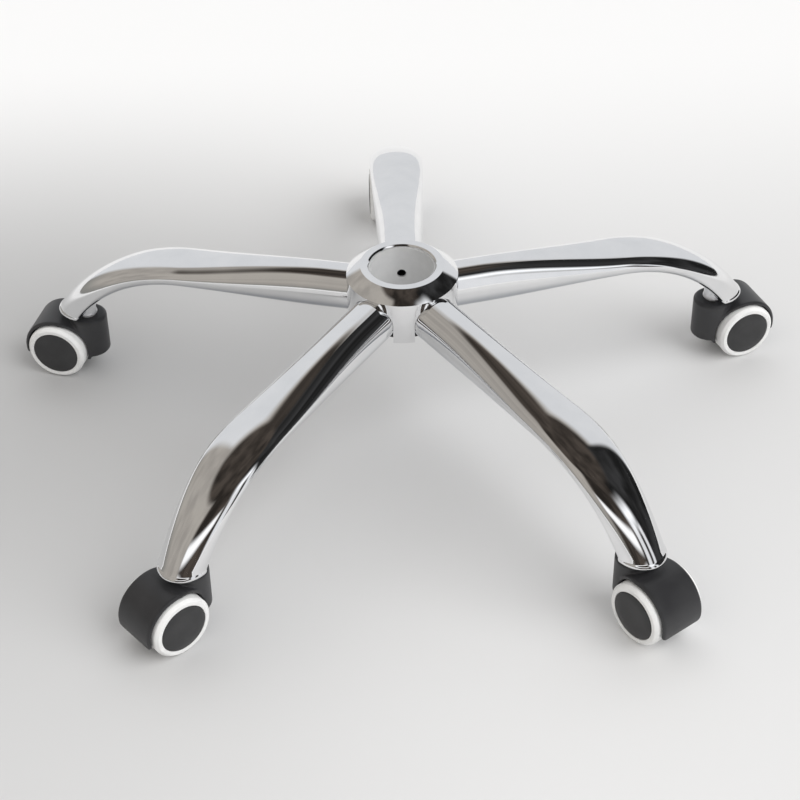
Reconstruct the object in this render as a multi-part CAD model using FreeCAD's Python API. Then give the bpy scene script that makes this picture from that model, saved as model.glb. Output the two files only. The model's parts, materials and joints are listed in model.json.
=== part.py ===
import FreeCAD
import Part
import math
import os

# Five star base of an office chair on twin wheel casters, sizes in millimetres.
# The origin lies on the floor under the hub's axis, +Z is up, and leg 1 points along +Y.

# Star
LEG_COUNT = 5
FIRST_LEG_ANGLE = 90.0
STEM_CIRCLE_R = 280.0
CASTER_TURNS = (0.5, 2.0, -13.5, 0.3, 3.6)  # resting turn of each caster from its leg's direction

# Fits
WELD_GAP = 0.05
NOTCH_GAP = 0.15
RUN_GAP = 0.05
SEAT_GAP = 0.3

# Hub
HUB_TOP_Z = 160.0
COVER_D = 88.4
COVER_HEIGHT = 44.5
COVER_WALL = 2.5
COVER_RING_D = 66.4
COVER_BEVEL_DROP = 8.7
COVER_MOUTH_D = 52.4
TAPER_MOUTH_D = 50.6
TAPER_HALF_ANGLE = 1.44
SLEEVE_D = 64.0
SLEEVE_LENGTH = 46.0
DRAIN_D = 7.5

# Leg: a round tube, pressed wide at the bend and closed at the tip
LEG_AXIS_DROP = 26.8
LEG_DROOP = 3.7
LEG_WALL = 2.0
TUBE_D = 37.0
FLATTEN_START = 20.0
BEND_R = 142.0
WIDE_TURN = 12.5
WIDE_W = 46.4
WIDE_H = 20.0
WIDE_CROWN = 0.43
TIP_W = 38.0
TIP_H = 20.5
TIP_CROWN = 0.87
TIP_REACH = 24.4
TIP_CLEARANCE = 3.2
ROUND_CROWN = 0.5
TIP_OVERRUN = 3.0
LEG_STRIPS = 11

# Caster
TRAIL = 24.0
WHEEL_D = 50.0
WHEEL_WELL_GAP = 1.3
FENDER_WALL = 2.7
HOOD_W = 39.0
HOOD_WEB = 16.0
HOOD_SKIRT_DROP = 8.0
HOOD_CORNER = 5.0
HOOD_BEVEL = 1.6
HOOD_SHOULDER_X = 20.0
BOSS_D = 31.5
BOSS_RISE = 2.0
BOSS_DROP = 5.0
BOSS_BEVEL = 2.0
STEM_D = 11.0
STEM_DEPTH = 22.0
STEM_END_GAP = 0.5
COLLAR_D = 14.8
COLLAR_T = 1.0
SOCKET_D = 15.0
SOCKET_PLAY = 0.15
SOCKET_CROWN_GAP = 3.0
STEM_TOP_DROP = 0.5

# Wheel: a moulded core with a bonded tread
AXLE_D = 8.0
AXLE_L = 36.0
AXLE_END_GAP = 0.3
WHEEL_W = 15.2
TREAD_SHOULDER = 2.2

ORIGIN = FreeCAD.Vector(0, 0, 0)
X_AXIS = FreeCAD.Vector(1, 0, 0)
Y_AXIS = FreeCAD.Vector(0, 1, 0)
Z_AXIS = FreeCAD.Vector(0, 0, 1)
SAME = 1e-4
LARGE = 1000.0

# Heights that follow from the sizes above
AXLE_Z = WHEEL_D / 2
WELL_R = WHEEL_D / 2 + WHEEL_WELL_GAP
HOOD_R = WELL_R + FENDER_WALL
HOOD_TOP_Z = AXLE_Z + HOOD_R + BOSS_RISE
COLLAR_Z = HOOD_TOP_Z + SEAT_GAP
SOCKET_Z = COLLAR_Z + COLLAR_T
TIP_Z = SOCKET_Z + TIP_CLEARANCE
SLEEVE_TOP_Z = HUB_TOP_Z - COVER_WALL
SLEEVE_Z = SLEEVE_TOP_Z - SLEEVE_LENGTH
COVER_Z = HUB_TOP_Z - COVER_HEIGHT
LEG_AXIS_Z = HUB_TOP_Z - LEG_AXIS_DROP
STEM_Z = HOOD_TOP_Z - STEM_DEPTH
LEG_ANGLES = [FIRST_LEG_ANGLE + 360.0 * index / LEG_COUNT for index in range(LEG_COUNT)]

# Leg path: a straight run with a slight droop, then one bend whose crown ends at the tip
DROOP = math.radians(LEG_DROOP)
CROWN_R = BEND_R + TIP_H / 2
TIP_R = STEM_CIRCLE_R + TIP_REACH
TIP_RISE = BEND_R - math.cos(DROOP) * (LEG_AXIS_Z - TIP_Z) + math.sin(DROOP) * TIP_R
TIP_SLOPE = DROOP + math.acos(TIP_RISE / CROWN_R)
BEND_START = (TIP_R + BEND_R * math.sin(DROOP) - CROWN_R * math.sin(TIP_SLOPE)) / math.cos(DROOP)
BEND_X = BEND_START * math.cos(DROOP) - BEND_R * math.sin(DROOP)
BEND_Z = LEG_AXIS_Z - BEND_START * math.sin(DROOP) - BEND_R * math.cos(DROOP)

# The socket and its stem end under the closed crown of the leg
CROWN_INSIDE_R = CROWN_R - LEG_WALL
SOCKET_OUTER_X = STEM_CIRCLE_R + SOCKET_D / 2 - BEND_X
SOCKET_TOP_Z = BEND_Z + math.sqrt(CROWN_INSIDE_R ** 2 - SOCKET_OUTER_X ** 2) - SOCKET_CROWN_GAP


def vector(x, y, z):
    return FreeCAD.Vector(x, y, z)


def turned(profile):
    """Turn a closed (radius, height) profile about the Z axis."""
    points = [vector(radius, 0, height) for radius, height in profile]
    face = Part.Face(Part.makePolygon(points + points[:1]))
    return face.revolve(ORIGIN, Z_AXIS, 360)


def spun(shape, angle):
    """Return a copy turned about the hub's axis."""
    copy = shape.copy()
    copy.rotate(ORIGIN, Z_AXIS, angle)
    return copy


def smooth(share):
    """Ease from 0 to 1 with level ends."""
    share = min(max(share, 0.0), 1.0)
    return share * share * (3 - 2 * share)


def mixed(first, last, share):
    return [a + (b - a) * share for a, b in zip(first, last)]


def leg_point(length):
    """Return reach, height and slope of the leg's middle line at a length from the hub's axis."""
    if length <= BEND_START:
        return length * math.cos(DROOP), LEG_AXIS_Z - length * math.sin(DROOP), DROOP
    slope = DROOP + (length - BEND_START) / BEND_R
    return BEND_X + BEND_R * math.sin(slope), BEND_Z + BEND_R * math.cos(slope), slope


def leg_length_at(slope):
    return BEND_START + (slope - DROOP) * BEND_R


def leg_form(length):
    """Return width, height and crown share of the pressed tube at a length along the leg."""
    start = COVER_D / 2 + FLATTEN_START
    wide = BEND_START + math.radians(WIDE_TURN) * BEND_R
    tip = leg_length_at(TIP_SLOPE)
    round_form = (TUBE_D, TUBE_D, ROUND_CROWN)
    wide_form = (WIDE_W, WIDE_H, WIDE_CROWN)
    tip_form = (TIP_W, TIP_H, TIP_CROWN)
    if length <= wide:
        return mixed(round_form, wide_form, smooth((length - start) / (wide - start)))
    return mixed(wide_form, tip_form, smooth((length - wide) / (tip - wide)))


def half_oval(centre, side, lift):
    """Return half an ellipse from one end of side to the other, over lift."""
    if abs(side.Length - lift.Length) < SAME:
        return Part.Arc(centre + side, centre + lift, centre - side).toShape()
    long, short = (side, lift) if side.Length > lift.Length else (lift, side)
    oval = Part.Ellipse(centre + long, centre + short, centre)
    start, top, end = [oval.parameter(centre + corner) for corner in (side, lift, side * -1)]
    full = 2 * math.pi
    if (top - start) % full > (end - start) % full:
        start, end = end, start
    return oval.toShape(start, start + (end - start) % full)


def leg_section(length):
    """Return one section of the pressed tube: a crown and a flatter belly that meet at the widest line."""
    reach, height, slope = leg_point(length)
    width, tall, crown = leg_form(length)
    out = vector(math.sin(slope), 0, math.cos(slope))
    shoulder = vector(reach, 0, height) + out * (tall / 2 - tall * crown)
    side = Y_AXIS * (width / 2)
    top = half_oval(shoulder, side, out * (tall * crown))
    belly = half_oval(shoulder, side, out * (tall * (crown - 1)))
    return Part.Wire(Part.__sortEdges__([top, belly]))


def above(height):
    return Part.makeBox(LARGE, LARGE, LARGE, vector(-LARGE / 2, -LARGE / 2, height))


def leg():
    """A closed tube with a level tip, coped on the sleeve and bored for the socket."""
    first = COVER_D / 2 + FLATTEN_START
    last = leg_length_at(TIP_SLOPE + math.radians(TIP_OVERRUN))
    step = (last - first) / LEG_STRIPS
    stations = [SLEEVE_D / 4] + [first + step * index for index in range(LEG_STRIPS + 1)]
    tube = Part.makeLoft([leg_section(station) for station in stations], True, True)
    tube = tube.common(above(TIP_Z)).Solids[0]
    cope = Part.makeCylinder(SLEEVE_D / 2 + WELD_GAP, LARGE, vector(0, 0, -LARGE / 2))
    hole_r = SOCKET_D / 2 + WELD_GAP
    hole = Part.makeCylinder(hole_r, SOCKET_TOP_Z + SEAT_GAP, vector(STEM_CIRCLE_R, 0, 0))
    return tube.cut([cope, hole]).Solids[0]


def hub_cover():
    """A drawn cup with a flat ring, a bevel and a skirt that is notched over the legs."""
    outer_r = COVER_D / 2
    inner_r = outer_r - COVER_WALL
    ring_r = COVER_RING_D / 2
    bevel_z = HUB_TOP_Z - COVER_BEVEL_DROP
    cup = turned(
        [
            (COVER_MOUTH_D / 2, SLEEVE_TOP_Z),
            (COVER_MOUTH_D / 2, HUB_TOP_Z),
            (ring_r, HUB_TOP_Z),
            (outer_r, bevel_z),
            (outer_r, COVER_Z),
            (inner_r, COVER_Z),
            (inner_r, bevel_z - COVER_WALL / 2),
            (ring_r - COVER_WALL / 2, SLEEVE_TOP_Z),
        ]
    )
    return cup.cut([spun(notch(), angle) for angle in LEG_ANGLES]).Solids[0]


def notch():
    """The space of one leg's root and all that lies below it, in the skirt."""
    radius = TUBE_D / 2 + NOTCH_GAP
    start_r = SLEEVE_D / 2
    start = vector(start_r, 0, LEG_AXIS_Z - start_r * math.tan(DROOP))
    along = vector(math.cos(DROOP), 0, -math.sin(DROOP))
    root = Part.makeCylinder(radius, COVER_D / 2, start, along)
    corner = vector(start_r, -radius, -COVER_D * math.sin(DROOP))
    below = Part.makeBox(COVER_D / 2, 2 * radius, start.z, corner)
    return root.fuse(below)


def taper_sleeve():
    """A turned sleeve with the lift column's taper and one drain hole for each leg."""
    mouth_r = TAPER_MOUTH_D / 2
    foot_r = mouth_r - SLEEVE_LENGTH * math.tan(math.radians(TAPER_HALF_ANGLE))
    outer_r = SLEEVE_D / 2
    rim = [(mouth_r, SLEEVE_TOP_Z), (outer_r, SLEEVE_TOP_Z)]
    sleeve = turned(rim + [(outer_r, SLEEVE_Z), (foot_r, SLEEVE_Z)])
    drain = Part.makeCylinder(DRAIN_D / 2, SLEEVE_D, vector(0, 0, LEG_AXIS_Z), X_AXIS)
    return sleeve.cut([spun(drain, angle) for angle in LEG_ANGLES]).Solids[0]


def caster_socket():
    """A short tube welded into the leg's tip, with its lower end showing."""
    bore_r = STEM_D / 2 + SOCKET_PLAY
    outer_r = SOCKET_D / 2
    foot = [(bore_r, SOCKET_Z), (outer_r, SOCKET_Z)]
    return turned(foot + [(outer_r, SOCKET_TOP_Z), (bore_r, SOCKET_TOP_Z)])


def caster_stem():
    """A pin with a thrust collar between the socket and the hood."""
    stem_r = STEM_D / 2
    collar_r = COLLAR_D / 2
    top_z = SOCKET_TOP_Z - STEM_TOP_DROP
    return turned(
        [
            (0, STEM_Z),
            (stem_r, STEM_Z),
            (stem_r, COLLAR_Z),
            (collar_r, COLLAR_Z),
            (collar_r, SOCKET_Z),
            (stem_r, SOCKET_Z),
            (stem_r, top_z),
            (0, top_z),
        ]
    )


def hood_outline():
    """The hood's plan: the boss widened by straight flanks to the fender's width."""
    boss_r = BOSS_D / 2
    half_w = HOOD_W / 2
    back = TRAIL + HOOD_R
    corners = [
        vector(0, -boss_r, 0),
        vector(HOOD_SHOULDER_X, -half_w, 0),
        vector(back, -half_w, 0),
        vector(back, half_w, 0),
        vector(HOOD_SHOULDER_X, half_w, 0),
        vector(0, boss_r, 0),
    ]
    nose = Part.Arc(corners[-1], vector(-boss_r, 0, 0), corners[0]).toShape()
    flanks = Part.makePolygon(corners).Edges
    return Part.Face(Part.Wire(flanks + [nose])).extrude(Z_AXIS * HOOD_TOP_Z)


def hood_end():
    """The hood from behind, with round lower corners, as a bar along the trail."""
    half_w = HOOD_W / 2
    corner = vector(-BOSS_D, -half_w, AXLE_Z - HOOD_SKIRT_DROP)
    bar = Part.makeBox(BOSS_D + TRAIL + 2 * HOOD_R, HOOD_W, HOOD_TOP_Z, corner)
    corners = [
        edge
        for edge in bar.Edges
        if abs(edge.BoundBox.ZMax - bar.BoundBox.ZMin) < SAME and edge.BoundBox.YLength < SAME
    ]
    return bar.makeFillet(HOOD_CORNER, corners)


def fender():
    """A drum round the axle, with bevelled rims."""
    half_w = HOOD_W / 2
    rim_y = half_w - HOOD_BEVEL
    rim_r = HOOD_R - HOOD_BEVEL
    flank = [(0, -half_w), (rim_r, -half_w), (HOOD_R, -rim_y)]
    drum = turned(flank + [(radius, -side) for radius, side in reversed(flank)])
    drum.rotate(ORIGIN, X_AXIS, -90)
    drum.translate(vector(TRAIL, 0, AXLE_Z))
    return drum


def hood():
    """A moulding of stem boss, fender and centre web, with a well for each wheel."""
    boss_r = BOSS_D / 2
    base_z = AXLE_Z - BOSS_DROP
    body = fender().common(hood_outline()).common(hood_end())
    boss = turned(
        [
            (0, base_z),
            (boss_r, base_z),
            (boss_r, HOOD_TOP_Z - BOSS_BEVEL),
            (boss_r - BOSS_BEVEL, HOOD_TOP_Z),
            (0, HOOD_TOP_Z),
        ]
    )
    side_w = HOOD_W - HOOD_WEB
    well = Part.makeCylinder(WELL_R, side_w, vector(TRAIL, HOOD_WEB / 2, AXLE_Z), Y_AXIS)
    other_well = Part.makeCylinder(WELL_R, side_w, vector(TRAIL, -HOOD_WEB / 2, AXLE_Z), Y_AXIS * -1)
    stem_bore = Part.makeCylinder(STEM_D / 2 + RUN_GAP, HOOD_TOP_Z, vector(0, 0, STEM_Z - STEM_END_GAP))
    axle_bore = Part.makeCylinder(AXLE_D / 2, HOOD_W, vector(TRAIL, -HOOD_W / 2, AXLE_Z), Y_AXIS)
    return body.fuse(boss).cut([well, other_well, stem_bore, axle_bore]).removeSplitter().Solids[0]


def axle():
    return Part.makeCylinder(AXLE_D / 2, AXLE_L, vector(TRAIL, -AXLE_L / 2, AXLE_Z), Y_AXIS)


def wheel(side):
    """A wheel on the +Y (side 1) or -Y (side -1) end of the axle, with a blind bore."""
    bore_r = AXLE_D / 2 + RUN_GAP
    bore_end = AXLE_L / 2 + AXLE_END_GAP
    inner_face = HOOD_WEB / 2 + SEAT_GAP
    outer_face = inner_face + WHEEL_W
    tread_r = WHEEL_D / 2
    piece = turned(
        [
            (0, bore_end),
            (bore_r, bore_end),
            (bore_r, inner_face),
            (tread_r, inner_face),
            (tread_r, outer_face - TREAD_SHOULDER),
            (tread_r - TREAD_SHOULDER, outer_face),
            (0, outer_face),
        ]
    )
    piece.rotate(ORIGIN, X_AXIS, -90 * side)
    piece.translate(vector(TRAIL, 0, AXLE_Z))
    return piece


def at_leg(shape, index):
    """Carry a piece from the stem's axis to the tip of a leg, with the caster's resting turn."""
    turn = FreeCAD.Rotation(Z_AXIS, LEG_ANGLES[index] + CASTER_TURNS[index])
    centre = FreeCAD.Rotation(Z_AXIS, LEG_ANGLES[index]).multVec(X_AXIS * STEM_CIRCLE_R)
    copy = shape.copy()
    copy.Placement = FreeCAD.Placement(centre, turn).multiply(shape.Placement)
    return copy


nodes = {
    "hub_cover": hub_cover(),
    "taper_sleeve": taper_sleeve(),
    "legs": Part.makeCompound([spun(leg(), angle) for angle in LEG_ANGLES]),
    "caster_sockets": Part.makeCompound([at_leg(caster_socket(), index) for index in range(LEG_COUNT)]),
    "caster_stems": Part.makeCompound([at_leg(caster_stem(), index) for index in range(LEG_COUNT)]),
}
for index in range(LEG_COUNT):
    number = index + 1
    nodes[f"hood_{number}"] = at_leg(hood(), index)
    nodes[f"axle_{number}"] = at_leg(axle(), index)
    nodes[f"wheel_{number}_left"] = at_leg(wheel(1), index)
    nodes[f"wheel_{number}_right"] = at_leg(wheel(-1), index)

os.makedirs("parts", exist_ok=True)
for name, shape in nodes.items():
    shape.exportStep(f"parts/{name}.step")
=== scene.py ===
# %% [markdown]
# # A five star chair base on casters
# The real base is a chromed steel star: five pressed tubes stand round a hub that takes the chair's
# lift column, and each tube ends over a caster. The CAD frame fixes every place and size. This lesson
# dresses it: smooth chrome, moulded hoods and pale treads, under the light of a small photo table.

# %% Load the frame
import json
import math

import bpy
from mathutils import Matrix, Vector


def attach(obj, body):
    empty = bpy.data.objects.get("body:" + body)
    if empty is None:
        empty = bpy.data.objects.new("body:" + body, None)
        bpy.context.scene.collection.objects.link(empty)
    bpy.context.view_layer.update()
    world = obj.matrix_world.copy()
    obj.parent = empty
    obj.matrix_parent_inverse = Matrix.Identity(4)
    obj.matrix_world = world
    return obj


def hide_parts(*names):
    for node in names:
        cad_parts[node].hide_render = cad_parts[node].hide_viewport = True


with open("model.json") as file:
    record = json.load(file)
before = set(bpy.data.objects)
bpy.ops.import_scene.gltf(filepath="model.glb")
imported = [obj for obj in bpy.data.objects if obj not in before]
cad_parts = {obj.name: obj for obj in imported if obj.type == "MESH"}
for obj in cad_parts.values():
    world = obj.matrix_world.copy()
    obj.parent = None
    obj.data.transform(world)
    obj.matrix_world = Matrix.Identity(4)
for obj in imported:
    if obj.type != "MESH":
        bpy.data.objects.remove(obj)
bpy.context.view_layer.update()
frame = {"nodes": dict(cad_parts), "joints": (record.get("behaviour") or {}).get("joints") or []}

# %% [markdown]
# ## The star's plan
# The legs stand 72 degrees apart, and each caster hangs on its stem near the tip of its leg. A caster's
# joint gives the stem's place, and its wheels' joints give the axle, so every caster piece can be made
# once at the origin and carried out by one matrix.

# %% Legs and casters in plan
MM = 0.001
LEGS = range(1, 6)
joints = {joint["name"]: joint for joint in frame["joints"]}


def leg_turn(number):
    """The turn about Z that carries a leg from +X to its place."""
    stem = joints[f"swivel_{number}"]["pos_m"]
    return Matrix.Rotation(math.atan2(stem[1], stem[0]), 4, "Z")


def caster_place(number):
    """The matrix from a caster's own frame, stem at the origin and axle along Y, to its place."""
    stem = joints[f"swivel_{number}"]["pos_m"]
    axle = joints[f"roll_{number}_left"]["axis"]
    turn = Matrix.Rotation(math.atan2(-axle[0], axle[1]), 4, "Z")
    return Matrix.Translation((stem[0], stem[1], 0)) @ turn


for number in LEGS:
    print("leg", number, "points", round(math.degrees(leg_turn(number).to_euler().z), 1), "degrees")

# %% [markdown]
# ## A tube to start from
# Every new piece here is round or began as a tube, so all of them start in one way: a circle is
# extruded, lifted and scaled, ring by ring. A profile under a Screw modifier could turn the round ones
# too, but this start also serves the legs, which a press shapes out of straight tube.

# %% Pull a tube
def pick(piece):
    """Select one piece alone."""
    bpy.ops.object.select_all(action="DESELECT")
    piece.select_set(True)
    bpy.context.view_layer.objects.active = piece


def pull_tube(name, sides, profile):
    """Add a circle and extrude it through (radius, height) pairs, into a tube with open ends."""
    radius, height = profile[0]
    bpy.ops.object.select_all(action="DESELECT")
    bpy.ops.mesh.primitive_circle_add(vertices=sides, radius=radius)
    tube = bpy.context.object
    tube.name = name
    tube.data.name = name
    bpy.ops.object.mode_set(mode="EDIT")
    bpy.ops.mesh.select_all(action="SELECT")
    bpy.ops.transform.translate(value=(0, 0, height))
    for next_radius, next_height in profile[1:]:
        bpy.ops.mesh.extrude_region_move(TRANSFORM_OT_translate={"value": (0, 0, next_height - height)})
        widen = next_radius / radius
        bpy.ops.transform.resize(value=(widen, widen, 1), center_override=(0, 0, next_height))
        radius, height = next_radius, next_height
    bpy.ops.object.mode_set(mode="OBJECT")
    return tube


def close_ends(tube):
    """Fill both open ends of a tube and turn its faces outwards."""
    pick(tube)
    bpy.ops.object.mode_set(mode="EDIT")
    bpy.ops.mesh.select_all(action="SELECT")
    bpy.ops.mesh.fill_holes(sides=0)
    bpy.ops.mesh.select_all(action="SELECT")
    bpy.ops.mesh.normals_make_consistent(inside=False)
    bpy.ops.object.mode_set(mode="OBJECT")


print("a circle can be pulled into a tube and closed")

# %% [markdown]
# ## The legs
# A leg starts as round tube, is pressed wide and low towards the bend, and closes to a rounded crown
# over the caster, where it is cut level. A curve with a bevel could follow the line but not the
# changing section, so a straight tube is pulled and every ring is pressed to the section it has there.

# %% The leg's line
DROOP = math.radians(3.7)
AXIS_Z = 133.2 * MM
BEND_R = 142 * MM
TIP_Z = 60.5 * MM
TIP_R = 304.4 * MM
TIP_TALL = 20.5 * MM

crown_r = BEND_R + TIP_TALL / 2
rise = BEND_R - math.cos(DROOP) * (AXIS_Z - TIP_Z) + math.sin(DROOP) * TIP_R
tip_slope = DROOP + math.acos(rise / crown_r)
bend_start = (TIP_R + BEND_R * math.sin(DROOP) - crown_r * math.sin(tip_slope)) / math.cos(DROOP)
bend_x = bend_start * math.cos(DROOP) - BEND_R * math.sin(DROOP)
bend_z = AXIS_Z - bend_start * math.sin(DROOP) - BEND_R * math.cos(DROOP)


def leg_line(length):
    """Reach, height and slope of the leg's middle line."""
    if length <= bend_start:
        return length * math.cos(DROOP), AXIS_Z - length * math.sin(DROOP), DROOP
    slope = DROOP + (length - bend_start) / BEND_R
    return bend_x + BEND_R * math.sin(slope), bend_z + BEND_R * math.cos(slope), slope


print("bend starts at", round(bend_start, 4), "m")
print("tip slopes", round(math.degrees(tip_slope), 1), "degrees")

# %% The leg's sections
TUBE_D = 37 * MM
ROUND_END = 64.2 * MM
WIDE_TURN = math.radians(12.5)
ROUND_FORM = (TUBE_D, TUBE_D, 0.5)
WIDE_FORM = (46.4 * MM, 20 * MM, 0.43)
TIP_FORM = (38 * MM, TIP_TALL, 0.87)
PAST_TIP = 0.3
HALVINGS = 40


def eased(share):
    """Go smoothly from 0 to 1."""
    share = min(max(share, 0.0), 1.0)
    return share * share * (3 - 2 * share)


def leg_form(length):
    """Width, height and crown share of the section."""
    wide = bend_start + WIDE_TURN * BEND_R
    tip = bend_start + (tip_slope - DROOP) * BEND_R
    if length <= wide:
        first, last, share = ROUND_FORM, WIDE_FORM, eased((length - ROUND_END) / (wide - ROUND_END))
    else:
        first, last, share = WIDE_FORM, TIP_FORM, eased((length - wide) / (tip - wide))
    return [a + (b - a) * share for a, b in zip(first, last)]


def leg_skin(length, turn, swell=0.0):
    """A point of the pressed tube: a crown and a flatter belly that meet at the widest line."""
    reach, height, slope = leg_line(length)
    width, tall, crown = leg_form(length)
    width, tall = width + 2 * swell, tall + 2 * swell
    out = Vector((math.sin(slope), 0, math.cos(slope)))
    up = math.sin(turn)
    lift = tall * (crown if up > 0 else 1 - crown) * up + tall / 2 - tall * crown
    return Vector((reach, width / 2 * math.cos(turn), height)) + out * lift


def leg_end(turn):
    """The length at which the skin, at this turn, meets the level cut of the tip, found by halving."""
    low, high = bend_start, bend_start + (tip_slope + PAST_TIP) * BEND_R
    for _ in range(HALVINGS):
        middle = (low + high) / 2
        if leg_skin(middle, turn).z > TIP_Z:
            low = middle
        else:
            high = middle
    return low


print("crown ends at", round(leg_end(math.pi / 2), 4), "m")
print("belly ends at", round(leg_end(-math.pi / 2), 4), "m")

# %% [markdown]
# The cut end is not sharp: it swells into a narrow lip with a round rim, which catches a line of light
# in the plating. Its rings stand close together, while those of the long run can be a few millimetres
# apart. The root stays an open tube, since one of the hub's drain holes looks into it.

# %% Where each ring of the tube goes
LEG_RINGS = 100
LIP_RINGS = 17
LEG_ROOT = 34 * MM
LEG_WALL = 2 * MM
ROOT_DEPTH = 90 * MM
LIP_LENGTH = 4.6 * MM
LIP_RISE = 0.55 * MM
LIP_ROUND = 1.7 * MM
LIP_STEEP = 2.6

BORE = (ROOT_DEPTH, LEG_ROOT)
lip_start = LEG_RINGS - LIP_RINGS


def lip(share):
    """Distance before the tip's end and swell of the lip, from its start round to its inner edge."""
    if share < 0.5:
        return LIP_LENGTH - (LIP_LENGTH - LIP_ROUND) * share * 2, LIP_RISE * eased(share * LIP_STEEP)
    roll = (share - 0.5) * math.pi
    return LIP_ROUND * (1 - math.sin(roll)), LIP_RISE - LIP_ROUND * (1 - math.cos(roll))


def pressed(turn, ring, end):
    """The place of a point of the straight tube on the finished leg: in its bore, long run or lip."""
    if ring < len(BORE):
        return leg_skin(BORE[ring], turn, -LEG_WALL)
    if ring < lip_start:
        share = (ring - len(BORE)) / (lip_start - len(BORE))
        return leg_skin(LEG_ROOT + (end - LIP_LENGTH - LEG_ROOT) * share, turn)
    before_end, swell = lip((ring - lip_start) / (LIP_RINGS - 1))
    place = leg_skin(end - before_end, turn, swell)
    if ring == LEG_RINGS - 1:
        place.z = TIP_Z
    return place


print("rings", LEG_RINGS, "of which", LIP_RINGS, "shape the lip")

# %% [markdown]
# No operator presses a tube, so here the points are moved in code, each ring to its section. Every
# point also keeps how far it lies round the belly, as an attribute: the chrome is darkened down
# there, as painted shade for the shadowed floor that the belly mirrors, and for the thinner, duller
# plating there.

# %% Press one leg
LEG_SIDES = 80

leg = pull_tube("leg_1", LEG_SIDES, [(1, ring) for ring in range(LEG_RINGS)])
underside = leg.data.attributes.new("underside", "FLOAT", "POINT")
ends = {}
for point in leg.data.vertices:
    turn = math.atan2(point.co.y, point.co.x)
    rail = round(turn, 4)
    if rail not in ends:
        ends[rail] = leg_end(turn)
    underside.data[point.index].value = max(0.0, -math.sin(turn))
    point.co = pressed(turn, round(point.co.z), ends[rail])
close_ends(leg)
print("leg pressed,", len(leg.data.polygons), "faces")

# %% [markdown]
# A pressed or moulded edge is never quite sharp, so a narrow Bevel modifier rounds what is left of it.
# Then the finished leg is copied to its five places.

# %% Soften the leg and copy it round the star
LEG_EDGE = 0.3 * MM
SMOOTH_BELOW = math.radians(40)


def soften(piece, width, segments=3, angle=32):
    """Round the sharp edges with a Bevel modifier and shade the rest smooth."""
    pick(piece)
    edge = piece.modifiers.new("edge", "BEVEL")
    edge.width = width
    edge.segments = segments
    edge.limit_method = "ANGLE"
    edge.angle_limit = math.radians(angle)
    edge.use_clamp_overlap = True
    bpy.ops.object.modifier_apply(modifier=edge.name)
    bpy.ops.object.shade_smooth_by_angle(angle=SMOOTH_BELOW)


def set_down(piece, place):
    """Carry a piece to its place and apply that, so that its object stays at the origin."""
    pick(piece)
    piece.matrix_world = place
    bpy.ops.object.transform_apply(location=True, rotation=True, scale=True)


def copy_of(piece, name, place):
    """Duplicate a piece, with a mesh of its own, to another place."""
    pick(piece)
    bpy.ops.object.duplicate()
    twin = bpy.context.object
    twin.name = name
    twin.data.name = name
    set_down(twin, place)
    return twin


soften(leg, LEG_EDGE, segments=2, angle=60)
legs = [copy_of(leg, f"pressed_leg_{number}", leg_turn(number)) for number in LEGS]
bpy.data.objects.remove(leg)
for piece in legs:
    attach(piece, "base")
    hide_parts("legs")
print("legs", len(legs), "with", len(legs[0].data.polygons), "faces each")

# %% [markdown]
# ## The hub
# The hub's cover is a cup drawn from sheet steel: a flat ring round the bevelled mouth, a wide bevel
# and a skirt with a notch over every leg. The Spin operator could turn it, but leaves a seam to merge,
# so it is pulled ring by ring from its profile, and the last ring is bridged back to the first.

# %% Turn the cover
MOUTH_R, RING_R, COVER_R = 26.2, 33.2, 44.2
COVER_TOP, SHOULDER, COVER_FOOT = 160.0, 151.3, 115.5
MOUTH_BEVEL_OUT, MOUTH_BEVEL_DOWN = 1.2, 1.3
COVER_WALL = 2.5
COVER_SIDES = 160
COVER = [
    (MOUTH_R, COVER_TOP - COVER_WALL),
    (MOUTH_R, COVER_TOP - MOUTH_BEVEL_DOWN),
    (MOUTH_R + MOUTH_BEVEL_OUT, COVER_TOP),
    (RING_R, COVER_TOP),
    (COVER_R, SHOULDER),
    (COVER_R, COVER_FOOT),
    (COVER_R - COVER_WALL, COVER_FOOT),
    (COVER_R - COVER_WALL, SHOULDER - COVER_WALL / 2),
    (RING_R - COVER_WALL / 2, COVER_TOP - COVER_WALL),
]


def turned_ring(name, sides, profile):
    """Turn a ring with a hole through it from a closed profile of (radius, height) pairs in mm."""
    ring = pull_tube(name, sides, [(radius * MM, height * MM) for radius, height in profile])
    bpy.ops.object.mode_set(mode="EDIT")
    bpy.ops.mesh.select_mode(type="VERT")
    bpy.ops.mesh.select_all(action="DESELECT")
    bpy.ops.mesh.select_non_manifold()
    bpy.ops.mesh.bridge_edge_loops()
    bpy.ops.mesh.select_all(action="SELECT")
    bpy.ops.mesh.normals_make_consistent(inside=False)
    bpy.ops.object.mode_set(mode="OBJECT")
    return ring


cover = turned_ring("hub_cover_drawn", COVER_SIDES, COVER)
print("cover turned,", len(cover.data.polygons), "faces")

# %% [markdown]
# Moving the skirt's own points would leave a stepped edge, so the notches are cut by Boolean modifiers.
# Their cutter is a cylinder along the leg, whose lower half is pulled down in edit mode, so that it
# opens the skirt to its rim.

# %% Cut the notches
NOTCH_GAP = 0.15 * MM
NOTCH_R = TUBE_D / 2 + NOTCH_GAP
NOTCH_AT = 46 * MM
NOTCH_LONG = 30 * MM
NOTCH_DEEP = 40 * MM
NOTCH_SIDES = 96
COVER_EDGE = 0.7 * MM
HAIR = 0.01 * MM

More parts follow.
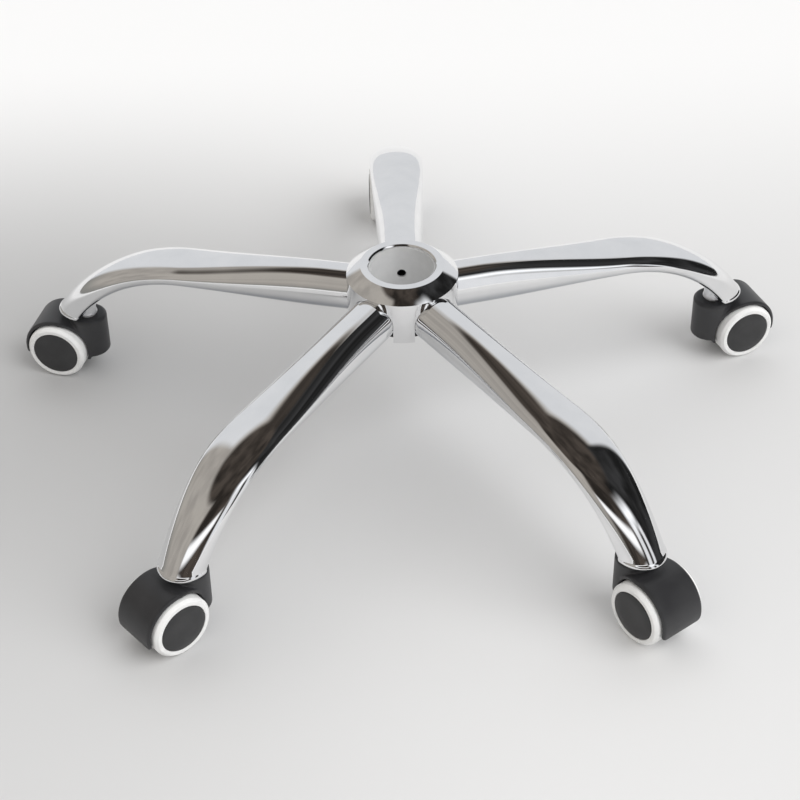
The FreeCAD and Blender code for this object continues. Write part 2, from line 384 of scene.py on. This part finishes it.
bpy.ops.object.select_all(action="DESELECT")
bpy.ops.mesh.primitive_cylinder_add(vertices=NOTCH_SIDES, radius=NOTCH_R, depth=NOTCH_LONG)
cutter = bpy.context.object
set_down(cutter, Matrix.Rotation(math.radians(90) + DROOP, 4, "Y"))
bpy.ops.object.mode_set(mode="EDIT")
bpy.ops.mesh.select_all(action="DESELECT")
bpy.ops.object.mode_set(mode="OBJECT")
for point in cutter.data.vertices:
    point.select = point.co.z < -point.co.x * math.tan(DROOP) - HAIR
bpy.ops.object.mode_set(mode="EDIT")
bpy.ops.transform.translate(value=(0, 0, -NOTCH_DEEP))
bpy.ops.object.mode_set(mode="OBJECT")
over_leg = Matrix.Translation((NOTCH_AT, 0, AXIS_Z - NOTCH_AT * math.tan(DROOP)))
for number in LEGS:
    tool = copy_of(cutter, f"notch_{number}", leg_turn(number) @ over_leg)
    pick(cover)
    notch = cover.modifiers.new("notch", "BOOLEAN")
    notch.operation = "DIFFERENCE"
    notch.solver = "EXACT"
    notch.object = tool
    bpy.ops.object.modifier_apply(modifier=notch.name)
    bpy.data.objects.remove(tool)
bpy.data.objects.remove(cutter)
soften(cover, COVER_EDGE, angle=25)
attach(cover, "base")
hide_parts("hub_cover")
print("cover notched,", len(cover.data.polygons), "faces")

# %% [markdown]
# ## The caster sockets
# Each tip holds a short welded tube for the caster's stem. Its zinc plated lower end, with a narrow
# flange, shows under the leg. The CAD solid has no flange, so one socket is turned here, and the
# casters' places carry its copies.

# %% Turn the sockets
STEM_BORE_R, SOCKET_R, FLANGE_R = 5.65, 7.5, 8.3
SOCKET_FOOT, FLANGE_EDGE, FLANGE_TOP, SOCKET_TOP = 57.3, 58.8, 59.4, 75.7
SOCKET_SIDES = 48
SOCKET_EDGE = 0.5 * MM
SOCKET = [
    (STEM_BORE_R, SOCKET_FOOT),
    (FLANGE_R, SOCKET_FOOT),
    (FLANGE_R, FLANGE_EDGE),
    (SOCKET_R, FLANGE_TOP),
    (SOCKET_R, SOCKET_TOP),
    (STEM_BORE_R, SOCKET_TOP),
]

socket = turned_ring("socket", SOCKET_SIDES, SOCKET)
soften(socket, SOCKET_EDGE)
sockets = [copy_of(socket, f"socket_{number}", caster_place(number)) for number in LEGS]
bpy.data.objects.remove(socket)
for piece in sockets:
    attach(piece, "base")
    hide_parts("caster_sockets")
print("sockets", len(sockets), "with", len(sockets[0].data.polygons), "faces each")

# %% [markdown]
# ## The hoods
# A hood is one black moulding: a boss round the stem, a fender over both wheels and a web between them.
# Its CAD solid has the right form but hard edges, and a mould never leaves those. A Bevel modifier
# could round them, but it pinches where many short edges meet, so a copy of the solid is welded,
# remeshed into small even faces and relaxed, which rounds every edge by about a millimetre.

# %% Mould one hood
HOOD_FACE = 0.7 * MM
RELAX_ROUNDS = 6

pick(frame["nodes"]["hood_1"])
bpy.ops.object.duplicate()
hood = bpy.context.object
weld = hood.modifiers.new("weld", "WELD")
weld.merge_threshold = HAIR
even = hood.modifiers.new("even", "REMESH")
even.mode = "VOXEL"
even.voxel_size = HOOD_FACE
relax = hood.modifiers.new("relax", "SMOOTH")
relax.factor = 0.5
relax.iterations = RELAX_ROUNDS
for step in ("weld", "even", "relax"):
    bpy.ops.object.modifier_apply(modifier=step)
bpy.ops.object.shade_smooth()
print("hood moulded,", len(hood.data.polygons), "faces")

# %% Copy it to every caster
own_frame = caster_place(1).inverted()
hoods = []
for number in LEGS:
    piece = copy_of(hood, f"hood_moulded_{number}", caster_place(number) @ own_frame)
    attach(piece, f"caster_{number}")
    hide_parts(f"hood_{number}")
    hoods.append(piece)
bpy.data.objects.remove(hood)
print("hoods", len(hoods))

# %% [markdown]
# ## The wheels
# A wheel is a dark core with a pale tread bonded round it, and the core's outer face is a low dome. One
# piece with two materials could do, but the real wheel shows a seam between them, so both are turned
# about the axle, once, from pairs of radius and height, where the height is the distance along the axle
# from the caster's middle. Every wheel gets copies carried to its own axle.

# %% Turn a tread and a core
TREAD = [(19.7, 8.8), (24.6, 8.8), (25.0, 9.4), (25.0, 20.9), (22.9, 23.4), (19.7, 23.4)]
CORE = [
    (4.1, 8.4), (19.6, 8.9), (19.6, 22.6), (19.2, 23.3), (18.4, 23.7),
    (12.0, 24.05), (4.0, 24.2), (0.6, 24.22),
]
WHEEL_SIDES = 128
TREAD_EDGE = 1.1 * MM
CORE_EDGE = 0.3 * MM

tread = turned_ring("tread", WHEEL_SIDES, TREAD)
soften(tread, TREAD_EDGE, segments=4, angle=25)
core = pull_tube("core", WHEEL_SIDES, [(radius * MM, height * MM) for radius, height in CORE])
close_ends(core)
soften(core, CORE_EDGE, segments=2, angle=40)
print("tread", len(tread.data.polygons), "faces, core", len(core.data.polygons), "faces")

# %% Copy them to every axle
wheel_spot = own_frame @ Vector(joints["roll_1_left"]["pos_m"])
axle_at = Matrix.Translation((wheel_spot.x, 0, wheel_spot.z))
treads, cores = [], []
for number in LEGS:
    for side, angle in (("left", -90), ("right", 90)):
        body = f"wheel_{number}_{side}"
        place = caster_place(number) @ axle_at @ Matrix.Rotation(math.radians(angle), 4, "X")
        for pattern, kept in ((tread, treads), (core, cores)):
            piece = copy_of(pattern, f"{pattern.name}_of_{body}", place)
            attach(piece, body)
            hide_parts(body)
            kept.append(piece)
for pattern in (tread, core):
    bpy.data.objects.remove(pattern)
print("axle", round(wheel_spot.x, 4), "m behind the stem and", round(wheel_spot.z, 4), "m up")
print("treads", len(treads), "cores", len(cores))

# %% [markdown]
# ## Shader sums in Python
# A finish is mostly a few sums on noise. Nodes could be linked one by one, but then the sums are hard
# to read. One small class wraps a socket, so that the sums are written as Python expressions, and one
# method adds every other node.

# %% A socket with operators
class Field:
    """A shader value that Python's operators turn into Math nodes."""

    def __init__(self, finish, socket):
        self.finish = finish
        self.socket = socket

    def math(self, operation, first, second):
        return self.finish.node("ShaderNodeMath", {"operation": operation}, {0: first, 1: second})

    def __add__(self, other):
        return self.math("ADD", self, other)

    def __radd__(self, other):
        return self.math("ADD", other, self)

    def __sub__(self, other):
        return self.math("SUBTRACT", self, other)

    def __rsub__(self, other):
        return self.math("SUBTRACT", other, self)

    def __mul__(self, other):
        return self.math("MULTIPLY", self, other)

    def __rmul__(self, other):
        return self.math("MULTIPLY", other, self)


class Finish:
    """One node tree, with a single method that adds its nodes."""

    def __init__(self, tree):
        self.tree = tree
        tree.nodes.clear()

    def node(self, kind, settings=None, inputs=None, output=0):
        """Add a node, set it up, fill its sockets and return one of its outputs."""
        node = self.tree.nodes.new(kind)
        for name, value in (settings or {}).items():
            if name == "stops":
                for stop, (place, colour) in zip(self.stops(node, len(value)), value):
                    stop.position = place
                    stop.color = colour
            else:
                setattr(node, name, value)
        for name, value in (inputs or {}).items():
            if isinstance(value, Field):
                self.tree.links.new(value.socket, node.inputs[name])
            else:
                node.inputs[name].default_value = value
        return Field(self, node.outputs[output]) if node.outputs else None

    @staticmethod
    def stops(node, count):
        """The stops of a colour ramp, as many as are asked for."""
        while len(node.color_ramp.elements) < count:
            node.color_ramp.elements.new(0.5)
        return list(node.color_ramp.elements)

    def object_place(self):
        return self.node("ShaderNodeTexCoord", output="Object")

    def noise(self, scale, detail=2.0, place=None):
        """Noise of so many cells to the metre, on Object coordinates."""
        where = place or self.object_place()
        inputs = {"Vector": where, "Scale": scale, "Detail": detail}
        return self.node("ShaderNodeTexNoise", {}, inputs, "Fac")

    def ramp(self, value, stops):
        return self.node("ShaderNodeValToRGB", {"stops": stops}, {"Fac": value}, "Color")

    def eased(self, value, low, high):
        """Go smoothly from 0 at low to 1 at high, which may also lie below low."""
        settings = {"interpolation_type": "SMOOTHSTEP"}
        inputs = {"Value": value, "From Min": low, "From Max": high}
        return self.node("ShaderNodeMapRange", settings, inputs, "Result")

    def blend(self, share, first, last):
        """Mix two colours."""
        inputs = {"Factor": share, 6: first, 7: last}
        return self.node("ShaderNodeMix", {"data_type": "RGBA"}, inputs, 2)

    def bump(self, height, strength, distance):
        inputs = {"Height": height, "Strength": strength, "Distance": distance}
        return self.node("ShaderNodeBump", {}, inputs)

    def surface(self, **inputs):
        """End the tree in one Principled shader."""
        named = {name.replace("_", " "): value for name, value in inputs.items()}
        shader = self.node("ShaderNodeBsdfPrincipled", {}, named, "BSDF")
        self.node("ShaderNodeOutputMaterial", {}, {"Surface": shader})


def new_finish(name):
    """A new material and the tree that its nodes go into."""
    material = bpy.data.materials.new(name)
    material.use_nodes = True
    return material, Finish(material.node_tree)


def grey(value):
    """A colour without a hue."""
    return (value, value, value, 1)


print("shader helpers are ready")

# %% [markdown]
# ## Chrome
# Plated tube mirrors the room, so its look is nearly all reflection. What keeps it from looking like
# glass is small: the plating is a little hazy in patches, and the pressed tube under it is not quite
# true, so straight reflections wander by a hair. Along the belly the colour is darkened, as painted
# shade for the shadowed floor mirrored there, and for duller plating.

# %% Plate the star
def dress(pieces, material):
    """Give pieces a finish."""
    for piece in pieces:
        piece.data.materials.clear()
        piece.data.materials.append(material)


HAZY_CHROME, CLEAR_CHROME = (0.80, 0.805, 0.815, 1), (0.86, 0.86, 0.865, 1)
# Painted shade: the belly's dark chrome stands in for the shadowed floor it mirrors, and partly for
# duller plating.
BELLY_SHADE_AND_DULL_CHROME = (0.38, 0.40, 0.43, 1)

chrome, mix = new_finish("chrome_plate")
haze = mix.noise(38.0, 3.0)
wander = mix.noise(22.0, 1.0)
tint = mix.ramp(haze, [(0.3, HAZY_CHROME), (0.7, CLEAR_CHROME)])
# The belly mask from the underside attribute carries the painted shade and the duller plating.
belly = mix.node("ShaderNodeAttribute", {"attribute_name": "underside"}, output="Fac")
mix.surface(
    Base_Color=mix.blend(mix.eased(belly, 0.05, 0.6), tint, BELLY_SHADE_AND_DULL_CHROME),
    Metallic=1.0,
    Roughness=0.03 + haze * 0.05,
    Normal=mix.bump(wander, 0.12, 0.001),
)
dress(legs + [cover], chrome)
print("plated", len(legs) + 1, "pieces")

# %% Zinc the sockets
DULL_ZINC, BRIGHT_ZINC = (0.66, 0.67, 0.69, 1), (0.82, 0.82, 0.83, 1)

zinc, mix = new_finish("zinc_plate")
spangle = mix.noise(420.0, 3.0)
mix.surface(
    Base_Color=mix.ramp(spangle, [(0.3, DULL_ZINC), (0.7, BRIGHT_ZINC)]),
    Metallic=0.85,
    Roughness=0.24 + spangle * 0.16,
)
dress(sockets, zinc)
print("zinc on", len(sockets), "sockets")

# %% [markdown]
# ## Bare steel
# The sleeve in the hub is turned and left unplated, so it is a dull grey with faint rings from the
# tool. Its drain holes are painted black as shade inside them: the mask is simply a distance from the
# hub's axis, a little more than the bore's, out to 40 mm. The pins of the casters are the same steel.
# All of these keep their CAD meshes, since plain turned pins and a sleeve need no more shape.

# %% Turned steel
# Painted shade: the steel is black between these distances from the hub's axis, in the drain holes.
HOLE_SHADE_FROM = 26.3 * MM
HOLE_SHADE_TO = 40 * MM
DARK_STEEL, LIGHT_STEEL = (0.62, 0.625, 0.625, 1), grey(0.73)
HOLE_SHADE_BLACK = grey(0.01)

steel, mix = new_finish("turned_steel")
place = mix.object_place()
in_plan = mix.node("ShaderNodeVectorMath", {"operation": "MULTIPLY"}, {0: place, 1: (1, 1, 0)})
from_axis = mix.node("ShaderNodeVectorMath", {"operation": "LENGTH"}, {0: in_plan}, "Value")
# The painted shade of the drain holes, from just outside the bore out to 40 mm.
outside_bore = mix.eased(from_axis, HOLE_SHADE_FROM, HOLE_SHADE_FROM + 0.5 * MM)
hole_shade = outside_bore * mix.eased(from_axis, HOLE_SHADE_TO, HOLE_SHADE_TO - MM)
rings = mix.node(
    "ShaderNodeTexWave",
    {"wave_type": "BANDS", "bands_direction": "Z"},
    {"Vector": place, "Scale": 260.0, "Distortion": 1.5, "Detail": 2.0, "Detail Scale": 1.5},
    "Fac",
)
cloud = mix.noise(60.0, 4.0, place)
bare = mix.ramp(cloud, [(0.25, DARK_STEEL), (0.75, LIGHT_STEEL)])
mix.surface(
    Base_Color=mix.blend(hole_shade, bare, HOLE_SHADE_BLACK),
    Metallic=0.25,
    Roughness=0.42 + cloud * 0.2,
    Normal=mix.bump(rings, 0.15, 0.0002),
)
for name in ["taper_sleeve", "caster_stems"] + [f"axle_{number}" for number in LEGS]:
    node = frame["nodes"][name]
    node.data.materials.clear()
    node.data.materials.append(steel)
print("bare steel on the sleeve, the stems and the axles")

# %% [markdown]
# ## Moulded plastic
# The hoods have a fine mould grain and a soft sheen. The cores are smoother and a touch greyer, and the
# treads are an off-white with faint grey scuffs. Flat colours could do from afar, but the grain breaks
# up the sheen.

# %% Black hoods
BLACK, WORN_BLACK = (0.023, 0.023, 0.025, 1), (0.034, 0.034, 0.036, 1)

black, mix = new_finish("hood_plastic")
place = mix.object_place()
grain = mix.noise(2600.0, 2.0, place)
patch = mix.noise(45.0, 3.0, place)
mix.surface(
    Base_Color=mix.ramp(patch, [(0.3, BLACK), (0.7, WORN_BLACK)]),
    Roughness=0.38 + patch * 0.1,
    Normal=mix.bump(grain, 0.25, 0.0001),
)
dress(hoods, black)
print("grained plastic on", len(hoods), "hoods")

# %% Dark cores
CHARCOAL, WORN_CHARCOAL = (0.040, 0.040, 0.041, 1), (0.052, 0.052, 0.053, 1)

charcoal, mix = new_finish("core_plastic")
place = mix.object_place()
patch = mix.noise(70.0, 3.0, place)
grain = mix.noise(1800.0, 2.0, place)
mix.surface(
    Base_Color=mix.ramp(patch, [(0.3, CHARCOAL), (0.7, WORN_CHARCOAL)]),
    Specular_IOR_Level=0.2,
    Roughness=0.3 + patch * 0.1,
    Normal=mix.bump(grain, 0.15, 0.0001),
)
dress(cores, charcoal)
print("smooth plastic on", len(cores), "cores")

# %% Pale treads
SCUFFED_WHITE, OFF_WHITE = (0.80, 0.80, 0.79, 1), (0.89, 0.89, 0.88, 1)

pale, mix = new_finish("tread_plastic")
place = mix.object_place()
scuff = mix.noise(90.0, 4.0, place)
grain = mix.noise(1500.0, 2.0, place)
mix.surface(
    Base_Color=mix.ramp(scuff, [(0.25, SCUFFED_WHITE), (0.6, OFF_WHITE)]),
    Roughness=0.38 + scuff * 0.12,
    Normal=mix.bump(grain, 0.1, 0.0001),
)
dress(treads, pale)
print("off-white on", len(treads), "treads")

# %% [markdown]
# ## The photo table
# The base stands on a sheet of pale paper whose colour holds painted light: painted shade makes it
# greyest on its left and round the base, and it is painted lighter to the right and front and white
# towards the back. The sheet stays flat and large here, and the lamps light it evenly, so that every
# view has a plain floor: the painted tones do what a curved sheet and a near window would do. A metre
# or two from the hub, all of them fade to white.

# %% Paper sheet
SHEET_SIZE = 30.0
# Painted light on the paper: darker on the left and round the base, lighter to the right, front and
# back.
LEFT_END, RIGHT_END = -0.34, 0.15
NEAR_START, NEAR_END = 0.0, -0.40
FAR_START, FAR_END = 0.16, 0.62
OPEN_START, OPEN_END = 0.9, 2.2
SHADED_MIDDLE_LEFT, LIT_MIDDLE_RIGHT = grey(0.49), grey(0.72)
SHADED_NEAR_LEFT, LIT_NEAR_RIGHT = grey(0.64), grey(0.775)
WHITE_PAPER = grey(0.885)

bpy.ops.object.select_all(action="DESELECT")
bpy.ops.mesh.primitive_plane_add(size=SHEET_SIZE)
paper = bpy.context.object
paper.name = "paper_sheet"
sheet, mix = new_finish("pale_paper_painted_light")
place = mix.object_place()
aside, depth = [mix.node("ShaderNodeSeparateXYZ", {}, {"Vector": place}, axis) for axis in "XY"]
# The paper's painted window falloff and painted shade round the base.
rightward = mix.eased(aside, LEFT_END, RIGHT_END)
middle = mix.blend(rightward, SHADED_MIDDLE_LEFT, LIT_MIDDLE_RIGHT)
near = mix.blend(rightward, SHADED_NEAR_LEFT, LIT_NEAR_RIGHT)
tone = mix.blend(mix.eased(depth, NEAR_START, NEAR_END), middle, near)
tone = mix.blend(mix.eased(depth, FAR_START, FAR_END), tone, WHITE_PAPER)
from_hub = mix.node("ShaderNodeVectorMath", {"operation": "LENGTH"}, {0: place}, "Value")
mix.surface(
    Base_Color=mix.blend(mix.eased(from_hub, OPEN_START, OPEN_END), tone, WHITE_PAPER),
    Roughness=0.75 + mix.noise(30.0, place=place) * 0.1,
)
paper.data.materials.append(sheet)
print("paper sheet of", SHEET_SIZE, "m under the base")

# %% [markdown]
# ## The room
# Chrome shows the room more than itself. What the legs mirror in the photograph gives the room away: a
# white sheet behind the table, a warm grey wall on the left, a dark corner on the right, a tall window
# beyond it and a low bright strip behind the camera, all under a brown ceiling. A picture wrapped round
# the scene could do the same, but panels can be read and moved. Each is a soft panel of headings and
# heights in the world's colour, painted one over the other. Where the camera looks past the paper, it
# sees the paper's tone instead of the room.

# %% Headings and heights of the room
world = bpy.data.worlds.new("photo_room")
bpy.context.scene.world = world
world.use_nodes = True
room = Finish(world.node_tree)
look = room.node("ShaderNodeTexCoord", output="Generated")
ways = [room.node("ShaderNodeSeparateXYZ", {}, {"Vector": look}, axis) for axis in "XYZ"]
to_right, to_back, to_top = ways
heading = room.node("ShaderNodeMath", {"operation": "ARCTAN2"}, {0: 0 - to_back, 1: to_right})
height = room.node("ShaderNodeMath", {"operation": "ARCSINE"}, {0: to_top})
clutter = room.noise(3.2, 3.0, look)


def panel(under, colour, headings, heights, soft):
    """Paint a soft panel over a colour: headings from right to front, heights from level, in degrees."""
    low, high = [math.radians(value) for value in headings]
    foot, top = [math.radians(value) for value in heights]
    blur = math.radians(soft)
    across = room.eased(heading, low - blur, low + blur) * room.eased(heading, high + blur, high - blur)
    upward = room.eased(height, foot - blur, foot + blur) * room.eased(height, top + blur, top - blur)
    return room.blend(across * upward, under, colour)


def cluttered(dim, bright):
    """A colour that wanders between two tones, as shelves and doors make a wall do."""
    return room.ramp(clutter, [(0.38, dim), (0.62, bright)])


print("room measured in headings and heights")

# %% Paint the room
ALL_ROUND = (-230, 230)
BELOW, ABOVE = -95, 95
PAPER_TONE = grey(0.93)

ceiling = cluttered((0.026, 0.022, 0.019, 1), (0.080, 0.066, 0.056, 1))
left_wall = cluttered((0.37, 0.345, 0.315, 1), (0.46, 0.43, 0.39, 1))
left_bench = (0.25, 0.25, 0.235, 1)
dark_corner = cluttered((0.014, 0.014, 0.014, 1), (0.045, 0.045, 0.046, 1))
back_sheet = (0.76, 0.772, 0.79, 1)
window_top = (1.3, 1.32, 1.35, 1)
window_foot = (0.85, 0.86, 0.88, 1)
front_strip = (1.2, 1.2, 1.2, 1)

walls = panel(ceiling, left_wall, ALL_ROUND, (BELOW, 60.5), 3)
walls = panel(walls, left_bench, ALL_ROUND, (BELOW, 6), 9)
walls = panel(walls, ceiling, (35, 116), (BELOW, ABOVE), 6)
walls = panel(walls, back_sheet, (-130, -38), (BELOW, 57), 4)
walls = panel(walls, dark_corner, (-40, 40), (BELOW, 64), 3)
walls = panel(walls, window_foot, (25, 35), (-3, 36), 2.5)
walls = panel(walls, window_foot, (44, 58), (-3, 40), 2.5)
walls = panel(walls, window_top, (28, 58), (38, 52), 8)
walls = panel(walls, front_strip, (66, 116), (22, 35), 4)
seen = room.node("ShaderNodeLightPath", output="Is Camera Ray")
walls = room.blend(seen, walls, PAPER_TONE)
background = room.node("ShaderNodeBackground", {}, {"Color": walls, "Strength": 1.0}, "Background")
room.node("ShaderNodeOutputWorld", {}, {"Surface": background})
print("room painted with", len(room.tree.nodes), "nodes")

# %% [markdown]
# ## Lamps
# The window is the key light, so a wide sun lamp shines from its side and throws soft shadows to the
# left. A wider one overhead fills them. Area lamps would be nearer to a real window, but they leave the
# far floor dark, and sun lamps light the sheet evenly out to its edges. The chrome already mirrors the
# window itself, so neither lamp shows in it.

# %% Window light and fill
def lamp(name, place, spread, strength):
    """A sun lamp that shines from a place towards the hub, as soft as its spread in degrees is wide."""
    light = bpy.data.lights.new(name, "SUN")
    light.angle = math.radians(spread)
    light.energy = strength
    stand = bpy.data.objects.new(name, light)
    bpy.context.collection.objects.link(stand)
    stand.location = place
    stand.rotation_euler = (-Vector(place)).to_track_quat("-Z", "Y").to_euler()
    stand.visible_glossy = False


lamp("window_light", (1.5, -0.8, 1.6), spread=56, strength=1.75)
lamp("ceiling_fill", (0.1, 0.2, 2.6), spread=150, strength=1.25)
print("two lamps are set")

# %% [markdown]
# ## Camera
# The lens and the place come from a perspective fit of the hub, the tips and the wheels in the
# photograph: a long lens about 1.7 m away, looking down at 39 degrees.

# %% Camera
LENS, SENSOR_WIDTH = 90.72, 36.0
STAND_AT = Vector((-3.3, -1292.8, 1085.0)) * MM
AIM_AT = Vector((-3.3, 0, 21.6)) * MM
PLAN_TURN = math.radians(-0.96)
ROLL = math.radians(0.91)

camera_data = bpy.data.cameras.new("camera")
camera_data.lens = LENS
camera_data.sensor_width = SENSOR_WIDTH
camera = bpy.data.objects.new("camera", camera_data)
bpy.context.collection.objects.link(camera)
bpy.context.scene.camera = camera

plan_turn = Matrix.Rotation(PLAN_TURN, 3, "Z")
stand = plan_turn @ STAND_AT
aim = plan_turn @ AIM_AT
forward = (aim - stand).normalized()
right = forward.cross(Vector((0, 0, 1))).normalized()
down = forward.cross(right).normalized()
tilted_right = right * math.cos(ROLL) + down * math.sin(ROLL)
tilted_down = down * math.cos(ROLL) - right * math.sin(ROLL)
turn = Matrix((tilted_right, -tilted_down, -forward)).transposed().to_4x4()
camera.matrix_world = Matrix.Translation(stand) @ turn
bpy.context.scene.view_settings.view_transform = "Standard"
print("camera at", [round(value, 3) for value in stand])
